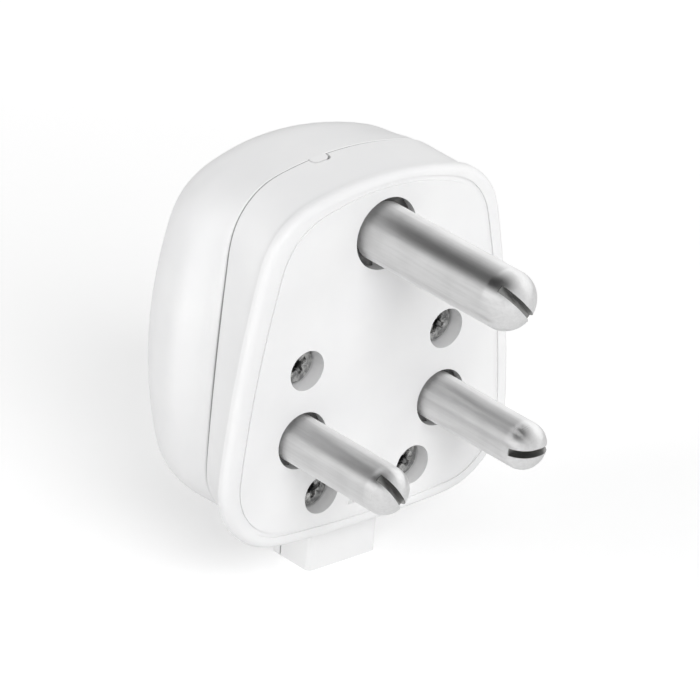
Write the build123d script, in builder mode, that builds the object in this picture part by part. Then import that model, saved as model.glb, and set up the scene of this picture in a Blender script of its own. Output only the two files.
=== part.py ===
import math
import os
from typing import NamedTuple

from build123d import *

# Frame: millimetres, +Z up towards the earth pin, pins along -Y, body along +Y.
# The origin lies on the pin face, midway between the line and neutral pins.

# pin pattern
pin_spacing = 25.4
earth_height = 28.6

# pins
earth_pin_diameter = 8.7
earth_pin_reach = 28.6
line_pin_diameter = 7.06
line_pin_reach = 20.6
dome_share = 0.85
earth_slot_angle = -46
line_slot_angle = -54
neutral_slot_angle = -2
slot_width = 1.1
pin_slot_depth = 2.2

# terminal heads behind the pins
earth_head_radius = 6.6
line_head_radius = 5.6
head_length = 9.4
head_edge = 0.5
wire_hole_radius = 2.1
terminal_thread_radius = 1.75
terminal_head_radius = 3
terminal_head_height = 1.8
terminal_head_round = 0.4
terminal_slot_depth = 0.9

# snap rings that keep the pins in their bosses
earth_mouth_radius = 5.4
line_mouth_radius = 4.3
mouth_depth = 2.2
ring_thickness = 0.8
ring_clearance = 0.1
ring_play = 0.05
ring_edge_gap = 0.15
ring_gap = 2
groove_depth = 0.42
boss_wall = 1.6
boss_end = 5
pin_float = 0.35
head_clearance = 0.15

# pin panel, measured from the line and neutral axes, apart from the margin over the earth pin
panel_low_half = 24.4
panel_mid_half = 22.6
panel_high_half = 17.6
panel_bottom = -14.9
panel_low_corner = -13.2
panel_earth_margin = 7.7
panel_top_bow = 4
panel_low_round = 9.5
panel_high_round = 10
panel_groove_width = 0.7
panel_groove_depth = 0.25

# raised rim around the panel
rim_side = 2.2
rim_bottom = 1.8
rim_top = 1.2
rim_thickness = 1.6
rim_front_round = 1.1
rim_step = 0.35

# parting line between the two halves
seam_depth = 10.2
seam_low_half = 21.2
seam_mid_half = 20.7
seam_high_half = 19.1
seam_bottom = -16.1
seam_low_corner = -15.3
seam_earth_margin = 9.1
seam_top_bow = 3.7
seam_low_round = 9.9
seam_high_round = 10.2
seam_chamfer = 0.25

# points that carry each smooth outline
outline_points = 48

# rear cover: how its outline changes from the parting line to where its back rounds off
cover_low_half_gain = -2
cover_mid_half_gain = 2.5
cover_high_half_gain = 0
cover_top_gain = -0.5
cover_top_bow_gain = 1
cover_low_round_gain = 0
cover_high_round_gain = 3
cover_side_length = 5.8
cover_back_inward = 9.5
cover_back_last_angle = 84
cover_back_sections = 7

# shells
wall = 2.2
face_thickness = 3.2
body_depth = 29
lip_height = 1.4
lip_thickness = 0.9
lip_clearance = 0.1

# tongue across the parting line at the top
tongue_x = -4.8
tongue_width = 2.8
tongue_length = 1.3
tongue_round = 1
tongue_root = 0.4
tongue_clearance = 0.28

# face screws
upper_screw_x = 12.75
upper_screw_z = 10.8
lower_screw_x = 8.4
lower_screw_z = -9.5
screw_mouth_radius = 3
screw_seat_depth = 3.6
screw_head_radius = 2.75
screw_head_height = 1.6
screw_head_crown = 0.5
screw_radius = 1.5
screw_hole_radius = 1.7
cross_width = 0.75
cross_span = 3
cross_depth = 1
column_radius = 4
column_clearance = 0.15

# threaded inserts in the rear cover's posts
insert_radius = 2.4
insert_length = 5
insert_sink = 0.3
insert_clearance = 0.04
insert_flute_radius = 0.25
insert_flutes = 10
thread_clearance = 0.05
post_radius = 4
post_bore_slack = 1.5

# cord clamp
clamp_half_length = 12.6
clamp_half_height = 3.2
clamp_thickness = 4.2
clamp_arch_half = 4.2
clamp_arch_depth = 1.1
clamp_tooth = 0.7
clamp_end_round = 3
nut_across_flats = 5.5
nut_thickness = 2.4
nut_clearance = 0.1
screw_end_margin = 0.6

# cord outlet block
block_half_width = 6.3
block_front = 3.9
block_back = 12
block_bottom = -24.2
block_edge_round = 0.8
outlet_half_width = 4.9
outlet_front = 5.2
outlet_back = 10.8

# shallow recess in the pin face between the lower screws
recess_half_width = 3.2
recess_low = -12.6
recess_high = -8.9
recess_depth = 0.8

# partition ribs in the front half
rib_thickness = 1.2
rib_end = 9
rib_cross_z = 18
rib_cross_half = 17
rib_wire_gap = 3
rib_middle_low = 1

# tubes in the rear cover that keep the pin heads forward
hold_radius = 3.6
hold_wall = 1.3
hold_gap = 0.3


def across(depth):
    """A plane parallel to the pin face, at this depth behind it."""
    return Plane.XZ.offset(-depth)


class Outline(NamedTuple):
    """The sizes of an outline of the plug, seen from the pins."""

    low_half: float
    mid_half: float
    high_half: float
    bottom: float
    low_corner: float
    top: float
    top_bow: float
    low_round: float
    high_round: float


def shield(outline, inward=0):
    """One smooth closed curve, bowed on all four sides, with round corners, moved inwards by a given amount."""
    low_half, mid_half, high_half = (half - inward for half in outline[:3])
    low_corner = outline.low_corner + inward
    high_corner = outline.top - outline.top_bow - inward
    middle = (low_corner + high_corner) / 2
    with BuildSketch() as face:
        with BuildLine():
            base = ThreePointArc((-low_half, low_corner), (0, outline.bottom + inward), (low_half, low_corner))
            right = ThreePointArc(base @ 1, (mid_half, middle), (high_half, high_corner))
            crown = ThreePointArc(right @ 1, (0, outline.top - inward), (-high_half, high_corner))
            ThreePointArc(crown @ 1, (-mid_half, middle), base @ 0)
        make_face()
        fillet(face.vertices().sort_by(Axis.Y)[:2], outline.low_round - inward)
        fillet(face.vertices().sort_by(Axis.Y)[-2:], outline.high_round - inward)
    wire = face.sketch.wire()
    start = wire.param_at_point(Vector(0, outline.bottom + inward))
    points = [wire @ ((start + step / outline_points) % 1) for step in range(outline_points)]
    if points[1].X < 0:
        points = points[:1] + points[:0:-1]
    with BuildSketch() as smooth:
        with BuildLine():
            Spline(*points, periodic=True)
        make_face()
    return smooth.sketch


def between(first, second, share):
    """The outline that lies between two others, 0 at the first and 1 at the second."""
    return Outline(*(start + share * (end - start) for start, end in zip(first, second)))


panel = Outline(
    panel_low_half,
    panel_mid_half,
    panel_high_half,
    panel_bottom,
    panel_low_corner,
    earth_height + panel_earth_margin,
    panel_top_bow,
    panel_low_round,
    panel_high_round,
)
rim = Outline(
    panel_low_half + rim_side,
    panel_mid_half + rim_side,
    panel_high_half + rim_side,
    panel_bottom - rim_bottom,
    panel_low_corner - rim_bottom,
    earth_height + panel_earth_margin + rim_top,
    panel_top_bow,
    panel_low_round + rim_side,
    panel_high_round + rim_top,
)
seam = Outline(
    seam_low_half,
    seam_mid_half,
    seam_high_half,
    seam_bottom,
    seam_low_corner,
    earth_height + seam_earth_margin,
    seam_top_bow,
    seam_low_round,
    seam_high_round,
)
cover_end = Outline(
    seam_low_half + cover_low_half_gain,
    seam_mid_half + cover_mid_half_gain,
    seam_high_half + cover_high_half_gain,
    seam_bottom,
    seam_low_corner,
    seam.top + cover_top_gain,
    seam_top_bow + cover_top_bow_gain,
    seam_low_round + cover_low_round_gain,
    seam_high_round + cover_high_round_gain,
)

half_spacing = pin_spacing / 2
earth_axis = (0, earth_height)
line_axis = (-half_spacing, 0)
neutral_axis = (half_spacing, 0)
low_pins = [line_axis, neutral_axis]
upper_screws = [(-upper_screw_x, upper_screw_z), (upper_screw_x, upper_screw_z)]
lower_screws = [(-lower_screw_x, lower_screw_z), (lower_screw_x, lower_screw_z)]
earth_pin_radius = earth_pin_diameter / 2
line_pin_radius = line_pin_diameter / 2

column_end = seam_depth - column_clearance
head_start = boss_end + head_clearance
head_end = head_start + head_length
head_middle = (head_start + head_end) / 2
ring_end = mouth_depth - ring_clearance
ring_start = ring_end - ring_thickness
insert_start = seam_depth + column_clearance + insert_sink
insert_end = insert_start + insert_length
clamp_start = seam_depth
clamp_end = clamp_start + clamp_thickness
side_end = seam_depth + cover_side_length
inner_bottom = seam_bottom + wall


def columns(places, radius, start, end, mode=Mode.ADD):
    """Round columns or holes along Y, between two depths, on the part that is being built."""
    with BuildSketch(across(start)) as circles:
        with Locations(*places):
            Circle(radius)
    extrude(circles.sketch, amount=start - end, mode=mode)


def block_plan(front, back):
    """The cord outlet block seen from below, between two depths."""
    with BuildSketch(Plane.XY.offset(block_bottom)) as plan:
        with Locations((0, (block_front + block_back) / 2)):
            RectangleRounded(2 * block_half_width, block_back - block_front, block_edge_round)
        with Locations((0, (front + back) / 2)):
            Rectangle(2 * block_half_width, back - front, mode=Mode.INTERSECT)
    return plan.sketch


def outlet_plan():
    """The cord's way in, seen from below."""
    with BuildSketch(Plane.XY.offset(block_bottom)) as plan:
        with Locations((0, (outlet_front + outlet_back) / 2)):
            SlotOverall(2 * outlet_half_width, outlet_back - outlet_front)
    return plan.sketch


def tongue_shape(clearance, root=0):
    """The tongue at the top of the parting line, seen from above, with its round end to the front."""
    length = tongue_length + clearance + root
    with BuildSketch(Plane.XY.offset(seam.top - wall)) as shape:
        with Locations((tongue_x, seam_depth + root - length / 2)):
            Rectangle(tongue_width + 2 * clearance, length)
        fillet(shape.vertices().group_by(Axis.Y)[0], tongue_round)
    return shape.sketch


def cover_form(inset):
    """The rear cover's full form, rounded off at the back, moved inwards by a given amount."""
    back_round = body_depth - side_end - inset
    with BuildPart() as form:
        for share in (0, 1 / 3, 2 / 3):
            with BuildSketch(across(seam_depth + share * cover_side_length)):
                add(shield(between(seam, cover_end, share), inset))
        last_angle = math.radians(cover_back_last_angle)
        for step in range(cover_back_sections):
            angle = last_angle * step / (cover_back_sections - 1)
            depth = side_end + back_round * math.sin(angle) / math.sin(last_angle)
            with BuildSketch(across(depth)):
                add(shield(cover_end, inset + (cover_back_inward - inset) * (1 - math.cos(angle))))
        loft()
    return form.part


with BuildPart() as front_hollow:
    with BuildSketch(across(rim_thickness)):
        add(shield(rim, rim_step + wall))
    with BuildSketch(across(seam_depth)):
        add(shield(seam, wall))
    loft(ruled=True)
    split(bisect_by=across(face_thickness), keep=Keep.BOTTOM)

# grip taper from the rim to the parting line
with BuildPart() as front_blank:
    with BuildSketch(across(rim_thickness)):
        add(shield(rim, rim_step))
    with BuildSketch(across(seam_depth)):
        add(shield(seam))
    loft(ruled=True)

with BuildPart() as front_housing:
    add(front_blank.part)
    # raised rim with a rolled front edge
    with BuildSketch(across(0)):
        add(shield(rim))
    extrude(amount=-rim_thickness)
    fillet(front_housing.faces().sort_by(Axis.Y)[0].edges(), rim_front_round)
    # outlet block
    extrude(block_plan(block_front, seam_depth), amount=inner_bottom - block_bottom)
    # hollow, with a rebate for the rear cover's lip
    add(front_hollow.part, mode=Mode.SUBTRACT)
    with BuildSketch(across(seam_depth - lip_height - lip_clearance)):
        add(shield(seam, wall - lip_thickness - lip_clearance))
    extrude(amount=-lip_height - lip_clearance, mode=Mode.SUBTRACT)
    # pin bosses and screw columns
    columns(low_pins, line_mouth_radius + boss_wall, face_thickness, boss_end)
    columns([earth_axis], earth_mouth_radius + boss_wall, face_thickness, boss_end)
    columns(upper_screws, column_radius, face_thickness, column_end)
    columns(lower_screws, column_radius, face_thickness, column_end)
    # partition ribs between the three terminals
    with BuildSketch(across(face_thickness)):
        with Locations((0, rib_cross_z)):
            Rectangle(2 * rib_cross_half, rib_thickness)
            Rectangle(2 * rib_wire_gap, rib_thickness, mode=Mode.SUBTRACT)
        with Locations((0, (rib_middle_low + rib_cross_z - rib_wire_gap) / 2)):
            Rectangle(rib_thickness, rib_cross_z - rib_wire_gap - rib_middle_low)
    extrude(amount=face_thickness - rib_end)
    extrude(outlet_plan(), amount=inner_bottom + wall - block_bottom, mode=Mode.SUBTRACT)
    # openings in the pin face
    columns(low_pins, line_mouth_radius, 0, mouth_depth, Mode.SUBTRACT)
    columns(low_pins, line_pin_radius + pin_float, mouth_depth, boss_end, Mode.SUBTRACT)
    columns([earth_axis], earth_mouth_radius, 0, mouth_depth, Mode.SUBTRACT)
    columns([earth_axis], earth_pin_radius + pin_float, mouth_depth, boss_end, Mode.SUBTRACT)
    columns(upper_screws + lower_screws, screw_mouth_radius, 0, screw_seat_depth, Mode.SUBTRACT)
    columns(upper_screws + lower_screws, screw_hole_radius, screw_seat_depth, column_end, Mode.SUBTRACT)
    # line around the panel, and the shallow recess between the lower screws
    with BuildSketch(across(0)):
        add(shield(panel))
        add(shield(panel, panel_groove_width), mode=Mode.SUBTRACT)
    extrude(amount=-panel_groove_depth, mode=Mode.SUBTRACT)
    with BuildSketch(across(0)):
        with Locations((0, (recess_low + recess_high) / 2)):
            Rectangle(2 * recess_half_width, recess_high - recess_low)
    extrude(amount=-recess_depth, mode=Mode.SUBTRACT)
    # parting line and the notch in it
    chamfer(front_housing.faces().sort_by(Axis.Y)[-1].outer_wire().edges(), seam_chamfer)
    extrude(tongue_shape(tongue_clearance), amount=2 * wall, mode=Mode.SUBTRACT)

# screw posts for the threaded inserts, and tubes that hold the pin heads, rooted halfway into the cover's wall
with BuildPart() as cover_posts:
    columns(low_pins + [earth_axis], hold_radius + hold_wall, head_end + hold_gap, body_depth)
    columns(low_pins + [earth_axis], hold_radius, head_end + hold_gap, body_depth, Mode.SUBTRACT)
    columns(upper_screws, post_radius, seam_depth + column_clearance, body_depth)
    add(cover_form(wall / 2), mode=Mode.INTERSECT)

# the tongue is flush with both halves, and its root fills the cover's chamfer
with BuildPart() as tongue:
    extrude(tongue_shape(0, tongue_root), amount=wall)
    add(front_blank.part + cover_form(0), mode=Mode.INTERSECT)

with BuildPart() as rear_cover:
    add(cover_form(0))
    extrude(block_plan(seam_depth, block_back), amount=inner_bottom - block_bottom)
    chamfer(rear_cover.faces().sort_by(Axis.Y)[0].outer_wire().edges(), seam_chamfer)
    add(cover_form(wall), mode=Mode.SUBTRACT)
    # lip that enters the front half
    with BuildSketch(across(seam_depth - lip_height)):
        add(shield(seam, wall - lip_thickness))
        add(shield(seam, wall), mode=Mode.SUBTRACT)
    extrude(amount=-lip_height)
    add(cover_posts.part)
    columns(upper_screws, insert_radius + insert_clearance, seam_depth, insert_end, Mode.SUBTRACT)
    columns(upper_screws, screw_hole_radius, insert_end, insert_end + post_bore_slack, Mode.SUBTRACT)
    extrude(outlet_plan(), amount=inner_bottom + wall - block_bottom, mode=Mode.SUBTRACT)
    add(tongue.part)


def turned_pin(place, radius, reach, head_radius, slot_angle):
    """A solid pin with a slotted dome, a ring groove and a terminal head with its two holes."""
    x, z = place
    with BuildPart() as pin:
        with BuildSketch(Plane(origin=(x, 0, z), x_dir=(0, 1, 0), z_dir=(1, 0, 0))):
            with BuildLine():
                Polyline(
                    (-reach, 0),
                    (-reach, radius),
                    (ring_start - ring_play, radius),
                    (ring_start - ring_play, radius - groove_depth),
                    (ring_end + ring_play, radius - groove_depth),
                    (ring_end + ring_play, radius),
                    (head_start, radius),
                    (head_start, head_radius),
                    (head_end, head_radius),
                    (head_end, 0),
                    close=True,
                )
            make_face()
        revolve(axis=Axis((x, 0, z), (0, 1, 0)))
        rings = pin.edges().filter_by(GeomType.CIRCLE).sort_by(Axis.Y)
        fillet(rings[0], dome_share * radius)
        head_rims = pin.edges().filter_by(GeomType.CIRCLE).filter_by(lambda e: abs(e.radius - head_radius) < 0.01)
        chamfer(head_rims, head_edge)
        with BuildSketch(across(-reach)):
            with Locations(place):
                Rectangle(3 * radius, slot_width, rotation=slot_angle)
        extrude(amount=-pin_slot_depth, mode=Mode.SUBTRACT)
        with Locations((x, head_middle, z)):
            Cylinder(wire_hole_radius, 3 * head_radius, mode=Mode.SUBTRACT)
        columns([place], terminal_thread_radius, head_middle, head_end, Mode.SUBTRACT)
    return pin.part


def snap_ring(place, pin_radius, mouth_radius):
    """An open ring in the pin's groove, seated in the mouth of the pin's hole."""
    with BuildPart() as ring:
        with BuildSketch(across(ring_start)):
            with Locations(place):
                Circle(mouth_radius - ring_edge_gap)
                Circle(pin_radius - groove_depth + ring_play, mode=Mode.SUBTRACT)
                with Locations((0, -mouth_radius)):
                    Rectangle(ring_gap, 2 * mouth_radius, mode=Mode.SUBTRACT)
        extrude(amount=-ring_thickness)
    return ring.part


def terminal_screw(place):
    """A slotted screw along the pin's axis, from behind into the wire hole."""
    with BuildPart() as screw:
        columns([place], terminal_head_radius, head_end, head_end + terminal_head_height)
        fillet(screw.faces().sort_by(Axis.Y)[-1].edges(), terminal_head_round)
        columns([place], terminal_thread_radius - thread_clearance, head_middle, head_end)
        with BuildSketch(across(head_end + terminal_head_height)):
            with Locations(place):
                Rectangle(3 * terminal_head_radius, slot_width)
        extrude(amount=terminal_slot_depth, mode=Mode.SUBTRACT)
    return screw.part


def face_screw(place, end):
    """A crosshead screw sunk in the pin face, running back to the given depth."""
    head_front = screw_seat_depth - screw_head_height
    with BuildPart() as screw:
        columns([place], screw_head_radius, head_front, screw_seat_depth)
        fillet(screw.faces().sort_by(Axis.Y)[0].edges(), screw_head_crown)
        columns([place], screw_radius, screw_seat_depth, end)
        with BuildSketch(across(head_front)):
            with Locations(place):
                Rectangle(cross_span, cross_width)
                Rectangle(cross_width, cross_span)
        extrude(amount=-cross_depth, mode=Mode.SUBTRACT)
    return screw.part


def threaded_insert(place):
    """A fluted metal bush pressed into a post of the rear cover."""
    with BuildPart() as insert:
        with BuildSketch(across(insert_start)):
            with Locations(place):
                Circle(insert_radius)
                Circle(screw_radius + thread_clearance, mode=Mode.SUBTRACT)
                with PolarLocations(insert_radius, insert_flutes):
                    Circle(insert_flute_radius, mode=Mode.SUBTRACT)
        extrude(amount=-insert_length)
    return insert.part


def hex_nut(place):
    """A nut in the back of the cord clamp."""
    with BuildPart() as nut:
        with BuildSketch(across(clamp_end - nut_thickness)):
            with Locations(place):
                RegularPolygon(nut_across_flats / 2, 6, major_radius=False)
                Circle(screw_radius + thread_clearance, mode=Mode.SUBTRACT)
        extrude(amount=-nut_thickness)
    return nut.part


with BuildPart() as cord_clamp:
    with BuildSketch(across(clamp_start)):
        with Locations((0, lower_screw_z)):
            RectangleRounded(2 * clamp_half_length, 2 * clamp_half_height, clamp_end_round)
    extrude(amount=-clamp_thickness)
    # arch over the cord, with two gripping teeth
    with BuildSketch(across(clamp_start)):
        with Locations((0, lower_screw_z)):
            Rectangle(2 * clamp_arch_half, 2 * clamp_half_height)
            with Locations((0, clamp_half_height / 2), (0, -clamp_half_height / 2)):
                Rectangle(2 * clamp_arch_half, clamp_tooth, mode=Mode.SUBTRACT)
    extrude(amount=-clamp_arch_depth, mode=Mode.SUBTRACT)
    columns(lower_screws, screw_hole_radius, clamp_start, clamp_end, Mode.SUBTRACT)
    with BuildSketch(across(clamp_end)):
        with Locations(*lower_screws):
            RegularPolygon(nut_across_flats / 2 + nut_clearance, 6, major_radius=False)
    extrude(amount=nut_thickness, mode=Mode.SUBTRACT)

pieces = {
    "front_housing": front_housing.part,
    "rear_cover": rear_cover.part,
    "cord_clamp": cord_clamp.part,
}
pins = {
    "earth": (earth_axis, earth_pin_radius, earth_pin_reach, earth_head_radius, earth_mouth_radius, earth_slot_angle),
    "line": (line_axis, line_pin_radius, line_pin_reach, line_head_radius, line_mouth_radius, line_slot_angle),
    "neutral": (neutral_axis, line_pin_radius, line_pin_reach, line_head_radius, line_mouth_radius, neutral_slot_angle),
}
for name, (place, radius, reach, head_radius, mouth_radius, slot_angle) in pins.items():
    pieces[f"{name}_pin"] = turned_pin(place, radius, reach, head_radius, slot_angle)
    pieces[f"{name}_ring"] = snap_ring(place, radius, mouth_radius)
    pieces[f"{name}_terminal_screw"] = terminal_screw(place)
for side, upper, lower in zip(("left", "right"), upper_screws, lower_screws):
    pieces[f"cover_screw_{side}"] = face_screw(upper, insert_end + screw_end_margin)
    pieces[f"cover_insert_{side}"] = threaded_insert(upper)
    pieces[f"clamp_screw_{side}"] = face_screw(lower, clamp_end + screw_end_margin)
    pieces[f"clamp_nut_{side}"] = hex_nut(lower)

os.makedirs("parts", exist_ok=True)
for name, piece in pieces.items():
    piece.label = name
    export_step(piece, f"parts/{name}.step")
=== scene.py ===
import math

import bmesh
import bpy
from mathutils import Matrix, Vector


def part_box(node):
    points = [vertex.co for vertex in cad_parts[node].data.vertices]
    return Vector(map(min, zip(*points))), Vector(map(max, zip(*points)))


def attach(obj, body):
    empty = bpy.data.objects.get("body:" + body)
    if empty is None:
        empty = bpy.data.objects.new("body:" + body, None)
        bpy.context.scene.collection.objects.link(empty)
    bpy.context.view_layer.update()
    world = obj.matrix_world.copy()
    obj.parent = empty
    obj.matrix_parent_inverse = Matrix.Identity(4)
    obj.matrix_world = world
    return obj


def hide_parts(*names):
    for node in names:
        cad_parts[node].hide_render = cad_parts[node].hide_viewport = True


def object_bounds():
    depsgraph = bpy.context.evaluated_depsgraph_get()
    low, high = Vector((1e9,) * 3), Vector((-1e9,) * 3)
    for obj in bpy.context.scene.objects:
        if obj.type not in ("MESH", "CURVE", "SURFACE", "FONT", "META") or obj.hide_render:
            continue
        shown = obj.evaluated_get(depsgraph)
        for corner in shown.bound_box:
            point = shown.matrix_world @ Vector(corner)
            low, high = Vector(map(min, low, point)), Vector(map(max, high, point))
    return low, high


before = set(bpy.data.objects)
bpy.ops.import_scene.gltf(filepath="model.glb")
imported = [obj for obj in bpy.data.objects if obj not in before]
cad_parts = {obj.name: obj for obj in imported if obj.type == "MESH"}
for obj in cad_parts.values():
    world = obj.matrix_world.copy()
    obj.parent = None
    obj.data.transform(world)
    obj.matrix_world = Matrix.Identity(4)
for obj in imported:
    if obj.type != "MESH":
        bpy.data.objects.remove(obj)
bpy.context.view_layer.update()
mm = 0.001
print("frame loaded:", len(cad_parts), "nodes")


# shader nodes, with their maths written as Python expressions

class Wire:
    # one output socket: arithmetic on wires adds the Math nodes
    def __init__(self, finish, socket):
        self.finish = finish
        self.socket = socket

    def __add__(self, other):
        return self.finish.maths("ADD", self, other)

    def __sub__(self, other):
        return self.finish.maths("SUBTRACT", self, other)

    def __rsub__(self, other):
        return self.finish.maths("SUBTRACT", other, self)

    def __mul__(self, other):
        return self.finish.maths("MULTIPLY", self, other)

    def __abs__(self):
        return self.finish.maths("ABSOLUTE", self)

    __radd__ = __add__
    __rmul__ = __mul__


class Finish:
    # a material, or the world, while its nodes are being laid out
    def __init__(self, name, kind="materials", coordinates="Object"):
        self.owner = getattr(bpy.data, kind).new(name)
        self.owner.use_nodes = True
        self.tree = self.owner.node_tree
        self.tree.nodes.clear()
        self.place = self.node("TexCoord", out=coordinates)

    def node(self, kind, settings=None, sockets=None, out=0):
        made = self.tree.nodes.new("ShaderNode" + kind)
        for key, value in (settings or {}).items():
            if key == "stops":
                # a new ramp already has two elements
                elements = made.color_ramp.elements
                for stop in value[2:]:
                    elements.new(stop[0])
                for element, (position, grey) in zip(elements, value):
                    element.position = position
                    element.color = rgb(grey, grey, grey)
            else:
                setattr(made, key, value)
        for key, value in (sockets or {}).items():
            if isinstance(value, Wire):
                self.tree.links.new(value.socket, made.inputs[key])
            else:
                made.inputs[key].default_value = value
        if made.outputs:
            return Wire(self, made.outputs[out])

    def maths(self, operation, *values):
        return self.node("Math", {"operation": operation}, dict(enumerate(values)))

    def axis(self, letter):
        return self.node("SeparateXYZ", {}, {"Vector": self.place}, out=letter)

    def noise(self, size, detail, place=None):
        # size is that of one cell, in millimetres
        sockets = {"Vector": place or self.place, "Scale": 1 / (size * mm), "Detail": detail}
        return self.node("TexNoise", {}, sockets)

    def step(self, value, edge, unit=1):
        # 0 before the edge, 1 past it, and smooth between its two ends
        sockets = {"Value": value, "From Min": edge[0] * unit, "From Max": edge[1] * unit}
        return self.node("MapRange", {"interpolation_type": "SMOOTHSTEP"}, sockets)

    def blend(self, factor, first, second):
        # 6 and 7 are a Mix node's colours, and 2 is the mixed one
        sockets = {"Factor": factor, 6: first, 7: second}
        return self.node("Mix", {"data_type": "RGBA"}, sockets, out=2)

    def bump(self, height, distance, strength, normal=None):
        sockets = {"Height": height, "Distance": distance * mm, "Strength": strength}
        if normal:
            sockets["Normal"] = normal
        return self.node("Bump", {}, sockets)

    def close(self, **sockets):
        # an underscore in a socket's name stands for a space
        named = {key.replace("_", " "): value for key, value in sockets.items()}
        shader = self.node("BsdfPrincipled", {}, named)
        self.node("OutputMaterial", {}, {"Surface": shader})
        return self.owner


def rgb(red, green, blue):
    return (red, green, blue, 1)


# white moulded plastic of the two halves and the clamp, with its sizes in millimetres

plastic = {
    "colour": rgb(0.85, 0.85, 0.85),
    "shade": rgb(0.82, 0.82, 0.825),
    "flowSize": 14,
    "flowEdge": (0.35, 0.7),
    "grainSize": 0.35,
    "grainDepth": 0.006,
    "waveSize": 7,
    "waveDepth": 0.02,
    "rough": 0.34,
    "roughSize": 3,
    "roughSpread": 0.08,
    # a painted shadow: a dark line where the halves meet, standing in for the shade in the groove between
    # them
    "seamDepth": 10.2,
    "seamEdge": (0.084, 0.14),
    "seamShade": 0.75,
    "seamShadowColour": rgb(0.22, 0.22, 0.22),
    # the tongue runs across the seam here, so the seam's painted shadow stops beside it
    "tongueX": -4.8,
    "tongueEdge": (1.37, 1.42),
    "tongueLow": (30, 30.1),
    # the clamp's plastic is a little yellower
    "warmColour": rgb(0.74, 0.70, 0.60),
    "clampWarmth": 0.35,
}


def plasticFinish(name, warmth=0):
    look = plastic
    finish = Finish(name)
    flow = finish.noise(look["flowSize"], detail=4)
    colour = finish.blend(finish.step(flow, look["flowEdge"]), look["shade"], look["colour"])
    # painted shadow along the seam between the halves, left off where the tongue crosses it
    fromSeam = abs(finish.axis("Y") - look["seamDepth"] * mm)
    seam = 1 - finish.step(fromSeam, look["seamEdge"], mm)
    fromTongue = abs(finish.axis("X") - look["tongueX"] * mm)
    tongue = 1 - finish.step(fromTongue, look["tongueEdge"], mm)
    tongue = tongue * finish.step(finish.axis("Z"), look["tongueLow"], mm)
    colour = finish.blend(seam * (1 - tongue) * look["seamShade"], colour, look["seamShadowColour"])
    if warmth:
        colour = finish.blend(warmth, colour, look["warmColour"])
    rough = look["rough"] + (finish.noise(look["roughSize"], detail=3) - 0.5) * look["roughSpread"]
    waves = finish.noise(look["waveSize"], detail=1)
    grain = finish.noise(look["grainSize"], detail=2)
    surface = finish.bump(waves, look["waveDepth"], strength=0.5)
    surface = finish.bump(grain, look["grainDepth"], strength=0.6, normal=surface)
    return finish.close(Base_Color=colour, Roughness=rough, Normal=surface, IOR=1.5)


# satin nickel of the turned pins, with its sizes in millimetres

nickel = {
    "colour": rgb(0.86, 0.86, 0.86),
    "dull": rgb(0.77, 0.77, 0.77),
    "dullEdge": (0.35, 0.7),
    "rough": 0.48,
    "domeRough": 0.31,
    "roughSpread": 0.10,
    "grained": 0.94,
    "grainTurn": 0.25,
    "streakSize": 0.35,
    "streakLength": 25,
    "turnPitch": 0.16,
    "turnDepth": 0.002,
    "stainSize": 5,
    # the slot's painted shade: its half width, the depth it reaches behind the tip, and how dark it is
    "slotEdge": (0.55, 0.57),
    "slotFloor": (2.25, 2.35),
    "slotShade": 0.9,
    "slotShadeColour": rgb(0.26, 0.26, 0.255),
    # where each dome goes over into the shaft, and its slot's angle from +X towards +Z, in degrees
    "domes": {
        "earth_pin": ((4.2, 4.4), -46),
        "line_pin": ((3.38, 3.58), -54),
        "neutral_pin": ((3.38, 3.58), -2),
    },
}


def nickelFinish(name):
    look = nickel
    low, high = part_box(name)
    domeEdge, slotAngle = look["domes"][name]
    finish = Finish(name + "_nickel")
    fromTip = finish.axis("Y") - low[1]
    stain = finish.noise(look["stainSize"], detail=4)
    drawn = finish.node("Mapping", {}, {"Vector": finish.place, "Scale": (1, 1 / look["streakLength"], 1)})
    streaks = finish.noise(look["streakSize"], detail=3, place=drawn)
    worn = finish.step(stain * 0.5 + streaks * 0.5, look["dullEdge"])
    colour = finish.blend(worn, look["colour"], look["dull"])
    # painted shade in the slot across the dome, where its walls keep the light out
    lean = math.radians(slotAngle)
    up = (finish.axis("Z") - (low[2] + high[2]) / 2) * math.cos(lean)
    aside = (finish.axis("X") - (low[0] + high[0]) / 2) * math.sin(lean)
    slot = 1 - finish.step(abs(up - aside), look["slotEdge"], mm)
    slot = slot * (1 - finish.step(fromTip, look["slotFloor"], mm))
    colour = finish.blend(slot * look["slotShade"], colour, look["slotShadeColour"])
    # fine rings of the turning tool, which draw gleams out along the pin
    ringSockets = {"W": finish.axis("Y"), "Scale": 1 / (look["turnPitch"] * mm), "Detail": 3}
    rings = finish.node("TexNoise", {"noise_dimensions": "1D"}, ringSockets)
    shaft = finish.step(fromTip, domeEdge, mm)
    rough = look["domeRough"] + shaft * (look["rough"] - look["domeRough"])
    rough = rough + (rings - 0.5 + stain - 0.5) * look["roughSpread"]
    surface = finish.bump(rings, look["turnDepth"], strength=0.7)
    tangent = finish.node("Tangent", {"direction_type": "RADIAL", "axis": "Y"})
    return finish.close(
        Base_Color=colour, Roughness=rough, Metallic=1.0, Normal=surface,
        Anisotropic=look["grained"], Anisotropic_Rotation=look["grainTurn"], Tangent=tangent)


# plain metals of the small parts, and the face screws' steel with grime and painted shade deep in the
# recess

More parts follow.
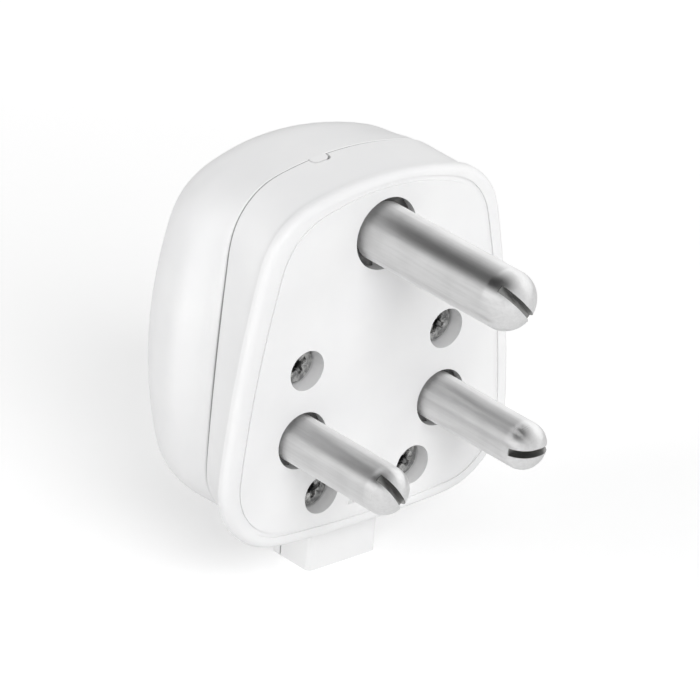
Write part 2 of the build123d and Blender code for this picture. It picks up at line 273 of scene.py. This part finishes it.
metalGrain = {
    "stainSize": 1.6,
    "wornEdge": (0.4, 0.7),
    "fineSize": 0.25,
    "fineDepth": 0.008,
    "roughSpread": 0.14,
}
metals = {
    "zincSteel": {"colour": rgb(0.36, 0.36, 0.36), "worn": rgb(0.52, 0.52, 0.51), "rough": 0.33},
    "springSteel": {"colour": rgb(0.10, 0.10, 0.10), "worn": rgb(0.18, 0.175, 0.17), "rough": 0.38},
    "brass": {"colour": rgb(0.62, 0.47, 0.22), "worn": rgb(0.70, 0.56, 0.30), "rough": 0.30},
    "screwSteel": {
        "colour": rgb(0.30, 0.30, 0.30),
        "worn": rgb(0.62, 0.62, 0.61),
        "rough": 0.24,
        "stainSize": 0.8,
        "wornEdge": (0.4, 0.65),
        "fineSize": 0.18,
        "fineDepth": 0.01,
        "roughSpread": 0.2,
        # grime and painted shade deep in the cross recess, darker past this depth behind the front
        "grimeAndShade": rgb(0.07, 0.07, 0.07),
        "grimeEdge": (2.15, 2.9),
        "grimeShade": 0.85,
        "grimeRough": 0.2,
    },
}


def metalFinish(name):
    look = {**metalGrain, **metals[name]}
    finish = Finish(name)
    stain = finish.noise(look["stainSize"], detail=4)
    fine = finish.noise(look["fineSize"], detail=2)
    colour = finish.blend(finish.step(stain, look["wornEdge"]), look["colour"], look["worn"])
    rough = look["rough"] + (fine - 0.5) * look["roughSpread"]
    if "grimeAndShade" in look:
        # grime and painted shade, darker deeper in the recess
        grimeAndShade = finish.step(finish.axis("Y"), look["grimeEdge"], mm)
        colour = finish.blend(grimeAndShade * look["grimeShade"], colour, look["grimeAndShade"])
        rough = rough + grimeAndShade * look["grimeRough"]
    surface = finish.bump(fine, look["fineDepth"], strength=0.6)
    return finish.close(Base_Color=colour, Roughness=rough, Metallic=1.0, Normal=surface)


finishes = {
    "whitePlastic": plasticFinish("whitePlastic"),
    "clampPlastic": plasticFinish("clampPlastic", plastic["clampWarmth"]),
}
for name in nickel["domes"]:
    finishes[name] = nickelFinish(name)
for name in metals:
    finishes[name] = metalFinish(name)

# finishes by words in the nodes' names: a pin has its own, and what has none of the words is zinc plated
nodeFinishes = {
    "front_housing": "whitePlastic",
    "rear_cover": "whitePlastic",
    "cord_clamp": "clampPlastic",
    "_ring": "springSteel",
    "terminal": "brass",
    "insert": "brass",
}
for name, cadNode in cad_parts.items():
    kind = name if name in finishes else "zincSteel"
    for word, finishName in nodeFinishes.items():
        if word in name:
            kind = finishName
    cadNode.data.materials.clear()
    cadNode.data.materials.append(finishes[kind])
print("finishes on the frame's nodes")


def addObject(name, data):
    added = bpy.data.objects.new(name, data)
    bpy.context.scene.collection.objects.link(added)
    return added


def addMesh(name, bm, material):
    mesh = bpy.data.meshes.new(name)
    bm.to_mesh(mesh)
    bm.free()
    mesh.materials.append(material)
    return addObject(name, mesh)


# face screws: crowned heads with a cross recess, a centre well and four tick marks, and rolled threads

screw = {
    # sizes are in millimetres and angles in degrees
    "segments": 96,
    "headRadius": 2.75,
    "headHeight": 1.6,
    "crown": 0.5,
    "crownSteps": 6,
    "dome": 0.1,
    "faceRings": 34,
    "shankRadius": 1.5,
    "threadDepth": 0.22,
    "threadPitch": 0.7,
    "threadSteps": 5,
    "point": 1.2,
    "pointRadius": 0.9,
    "sharpAngle": 38,
    # nearer than this counts as the same place
    "near": 0.001,
    # the recess
    "armHalf": 0.42,
    "armReach": 1.6,
    "armDeep": 0.95,
    "armSlope": 0.35,
    "wallWidth": 0.13,
    "wellReach": 0.95,
    "wellDeep": 1.15,
    "tickFrom": 0.9,
    "tickTo": 1.95,
    "tickHalf": 0.08,
    "tickDeep": 0.1,
    # how far each one was driven round
    "turns": {
        "cover_screw_left": 28,
        "cover_screw_right": 62,
        "clamp_screw_left": 11,
        "clamp_screw_right": 47,
    },
}


def clamped(value):
    return min(1.0, max(0.0, value))


def recessDepth(x, z):
    # depth of the recess under a place on the head
    x, z = abs(x), abs(z)
    deep = 0
    for along, aside in ((x, z), (z, x)):
        inside = clamped((screw["armHalf"] - aside) / screw["wallWidth"])
        inside *= clamped((screw["armReach"] - along) / screw["wallWidth"])
        deep = max(deep, inside * (screw["armDeep"] - screw["armSlope"] * along))
    well = clamped((screw["wellReach"] - x - z) / screw["wallWidth"])
    deep = max(deep, well * screw["wellDeep"])
    along, aside = (x + z) * math.sqrt(0.5), abs(x - z) * math.sqrt(0.5)
    if screw["tickFrom"] < along < screw["tickTo"]:
        deep = max(deep, clamped((screw["tickHalf"] - aside) / screw["tickHalf"]) * screw["tickDeep"])
    return deep


def screwOutline(length):
    # radius, and depth behind the middle of the head's front, from there to the point's end
    face = screw["headRadius"] - screw["crown"]
    outline = [(0, 0)]
    for step in range(1, screw["faceRings"] + 1):
        share = step / screw["faceRings"]
        outline.append((face * share, screw["dome"] * share ** 2))
    for step in range(1, screw["crownSteps"] + 1):
        bend = math.pi / 2 * step / screw["crownSteps"]
        drop = screw["dome"] + (screw["crown"] - screw["dome"]) * (1 - math.cos(bend))
        outline.append((face + screw["crown"] * math.sin(bend), drop))
    outline.append((screw["headRadius"], screw["headHeight"]))
    outline.append((screw["shankRadius"], screw["headHeight"]))
    rise = screw["threadPitch"] / screw["threadSteps"]
    steps = int((length - screw["headHeight"] - screw["point"]) / rise)
    for step in range(1, steps + 1):
        outline.append((screw["shankRadius"], screw["headHeight"] + step * rise))
    outline.append((screw["shankRadius"] - screw["threadDepth"], length - screw["point"]))
    outline.append((screw["pointRadius"], length))
    return outline


def carve(vert):
    # sinks the head's front into the recess, and the shank's side into the thread
    x, back, z = vert.co
    radius = math.hypot(x, z)
    if back < screw["dome"] + screw["near"]:
        vert.co.y += recessDepth(x, z)
    elif back > screw["headHeight"] + screw["near"] and radius > screw["shankRadius"] - screw["near"]:
        share = math.atan2(z, x) / (2 * math.pi)
        flank = abs(2 * ((back / screw["threadPitch"] + share) % 1) - 1)
        narrowed = 1 - screw["threadDepth"] * flank / screw["shankRadius"]
        vert.co = (x * narrowed, back, z * narrowed)


def makeScrew(name, turn):
    low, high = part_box(name)
    bm = bmesh.new()
    outline = [bm.verts.new((radius, back, 0)) for radius, back in screwOutline((high[1] - low[1]) / mm)]
    for first, second in zip(outline, outline[1:]):
        bm.edges.new((first, second))
    bmesh.ops.spin(
        bm, geom=bm.verts[:] + bm.edges[:], axis=(0, 1, 0), angle=2 * math.pi,
        steps=screw["segments"], use_merge=True)
    bmesh.ops.remove_doubles(bm, verts=bm.verts, dist=screw["near"])
    bmesh.ops.edgeloop_fill(bm, edges=[edge for edge in bm.edges if edge.is_boundary])
    for vert in bm.verts:
        carve(vert)
    bmesh.ops.recalc_face_normals(bm, faces=bm.faces)
    for face in bm.faces:
        face.smooth = True
    middle = Matrix.Translation(((low[0] + high[0]) / 2, low[1], (low[2] + high[2]) / 2))
    driven = Matrix.Rotation(math.radians(-turn), 4, "Y")
    bmesh.ops.transform(bm, verts=bm.verts, matrix=middle @ driven @ Matrix.Scale(mm, 4))
    piece = addMesh(name + "_threaded", bm, finishes["screwSteel"])
    piece.data.set_sharp_from_angle(angle=math.radians(screw["sharpAngle"]))
    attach(piece, "root")
    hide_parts(name)


for name, turn in screw["turns"].items():
    makeScrew(name, turn)
print("face screws:", len(screw["turns"]))


# floor, light and camera

studio = {
    "floorSize": 6,
    "paper": rgb(0.88, 0.88, 0.88),
    "paperPale": rgb(0.90, 0.90, 0.90),
    "paperStain": 40,
    "paperRough": 0.9,
    "paperGlow": 0.24,
    "whiteEdge": (0.12, 0.6),
    # the world's strength as a fill and in gleams, and the tent's grey straight in front
    "fill": 0.64,
    "gleam": 1.55,
    "front": 0.62,
    "frontEdge": (0.40, 0.78),
    # the tent's grey by its angle round the pins' direction, from +X towards +Z, in degrees
    "tent": [
        (-180, 0.70),
        (-90, 0.60),
        (0, 0.85),
        (30, 1.0),
        (45, 0.85),
        (65, 0.50),
        (84, 0.22),
        (96, 0.04),
        (116, 0.01),
        (128, 0.04),
        (138, 0.22),
        (148, 0.62),
        (160, 0.85),
        (180, 0.70),
    ],
    "lamps": [
        # name, place, size and power, in metres and watts
        ("keyLamp", (-0.33, -1.06, 0.74), 0.9, 9.2),
        ("sideLamp", (1.0, -0.6, 0.5), 0.8, 2.5),
        ("backLamp", (-1.0, 0.4, 0.35), 0.4, 3.6),
    ],
}


def buildWorld():
    # an even fill, near white for the camera, and in gleams a tent that is dark above and bright in front
    sky = Finish("studio", "worlds", "Generated")
    around = sky.maths("ARCTAN2", sky.axis("Z"), sky.axis("X")) * (0.5 / math.pi) + 0.5
    stops = [(angle / 360 + 0.5, grey) for angle, grey in studio["tent"]]
    tent = sky.node("ValToRGB", {"stops": stops}, {"Fac": around})
    front = sky.step(0 - sky.axis("Y"), studio["frontEdge"])
    tent = (1 - front) * tent + front * studio["front"]
    seen = sky.node("LightPath", out="Is Camera Ray")
    gleam = sky.node("LightPath", out="Is Glossy Ray")
    level = (1 - gleam) * studio["fill"] + gleam * studio["gleam"] * tent
    level = (1 - seen) * level + seen
    shader = sky.node("Background", {}, {"Strength": level})
    sky.node("OutputWorld", {}, {"Surface": shader})
    bpy.context.scene.world = sky.owner


def buildFloor():
    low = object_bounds()[0][2]
    finish = Finish("floorPaper")
    stain = finish.noise(studio["paperStain"], detail=2)
    colour = finish.blend(stain, studio["paper"], studio["paperPale"])
    # to the camera the paper goes over into plain white away from the object and its shadow
    seen = finish.node("LightPath", out="Is Camera Ray")
    away = finish.node("VectorMath", {"operation": "LENGTH"}, {0: finish.place}, out="Value")
    white = finish.step(away, studio["whiteEdge"])
    glow = seen * (studio["paperGlow"] + white * (1 - studio["paperGlow"]))
    paper = finish.close(
        Base_Color=colour, Roughness=studio["paperRough"],
        Emission_Color=rgb(1, 1, 1), Emission_Strength=glow)
    bm = bmesh.new()
    bmesh.ops.create_grid(bm, x_segments=1, y_segments=1, size=studio["floorSize"] / 2)
    bmesh.ops.translate(bm, verts=bm.verts, vec=(0, 0, low))
    floor = addMesh("floor", bm, paper)


def buildLamps():
    for name, place, size, power in studio["lamps"]:
        lamp = bpy.data.lights.new(name, "AREA")
        lamp.shape = "DISK"
        lamp.size = size
        lamp.energy = power
        holder = addObject(name, lamp)
        aim = Vector(place).to_track_quat("Z", "Y").to_matrix().to_4x4()
        holder.matrix_world = Matrix.Translation(place) @ aim
        # gleams show the world's tent and no lamp
        holder.visible_glossy = False


# the camera of the photograph, in degrees and millimetres

view = {
    "azimuth": -42.3,
    "elevation": 25.64,
    "roll": 4.46,
    "distance": 856,
    "across": 3.05,
    "up": -9.63,
    "focal": 314.7,
    "sensor": 36,
    "farEnd": 20000,
}


def buildCamera():
    camera = bpy.data.cameras.new("camera")
    camera.sensor_width = view["sensor"]
    camera.lens = view["focal"]
    camera.clip_end = view["farEnd"] * mm
    holder = addObject("camera", camera)
    turned = Matrix.Rotation(math.radians(view["azimuth"]), 4, "Z")
    raised = Matrix.Rotation(math.radians(90 - view["elevation"]), 4, "X")
    rolled = Matrix.Rotation(math.radians(view["roll"]), 4, "Z")
    moved = Matrix.Translation(Vector((-view["across"], -view["up"], view["distance"])) * mm)
    holder.matrix_world = turned @ raised @ rolled @ moved
    bpy.context.scene.camera = holder


buildWorld()
buildFloor()
buildLamps()
buildCamera()
bpy.context.scene.view_settings.view_transform = "Standard"
print("studio and camera set")
